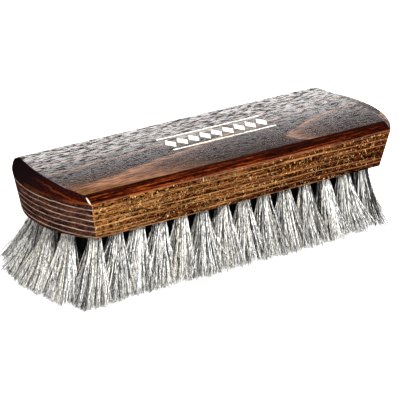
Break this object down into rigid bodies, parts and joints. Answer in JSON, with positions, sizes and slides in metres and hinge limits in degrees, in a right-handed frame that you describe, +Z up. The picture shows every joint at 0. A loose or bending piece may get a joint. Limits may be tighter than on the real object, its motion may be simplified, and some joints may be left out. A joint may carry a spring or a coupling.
{
  "type": "shoe shine brush",
  "caption": "Hand-held shoe shine brush: a bevelled, lacquered beech block with curved ends, drilled with rows of splayed horsehair tufts held by flat wire staples.",
  "frame": {"origin": "in the plane of the trimmed bristle tips, under the middle of the block", "axes": "+X along the block, +Y across it, +Z up from the bristle tips to the flat top of the block"},
  "size_m": [0.1836, 0.0694, 0.0475],
  "materials": {
    "stained_beech": "dark brown stained beech under clear gloss lacquer, growth lines lighter than the ground",
    "horsehair": "natural horsehair, white, cream, grey and black strands mixed",
    "staple_wire": "zinc-coated flat steel wire"
  },
  "bodies": {
    "root": {"brush_block": "stained_beech", "tuft_column_01": "horsehair", "tuft_column_02": "horsehair", "tuft_column_03": "horsehair", "tuft_column_04": "horsehair", "tuft_column_05": "horsehair", "tuft_column_06": "horsehair", "tuft_column_07": "horsehair", "tuft_column_08": "horsehair", "tuft_column_09": "horsehair", "tuft_column_10": "horsehair", "tuft_column_11": "horsehair", "tuft_column_12": "horsehair", "tuft_column_13": "horsehair", "tuft_column_14": "horsehair", "anchor_column_01": "staple_wire", "anchor_column_02": "staple_wire", "anchor_column_03": "staple_wire", "anchor_column_04": "staple_wire", "anchor_column_05": "staple_wire", "anchor_column_06": "staple_wire", "anchor_column_07": "staple_wire", "anchor_column_08": "staple_wire", "anchor_column_09": "staple_wire", "anchor_column_10": "staple_wire", "anchor_column_11": "staple_wire", "anchor_column_12": "staple_wire", "anchor_column_13": "staple_wire", "anchor_column_14": "staple_wire"}
  },
  "joints": []
}
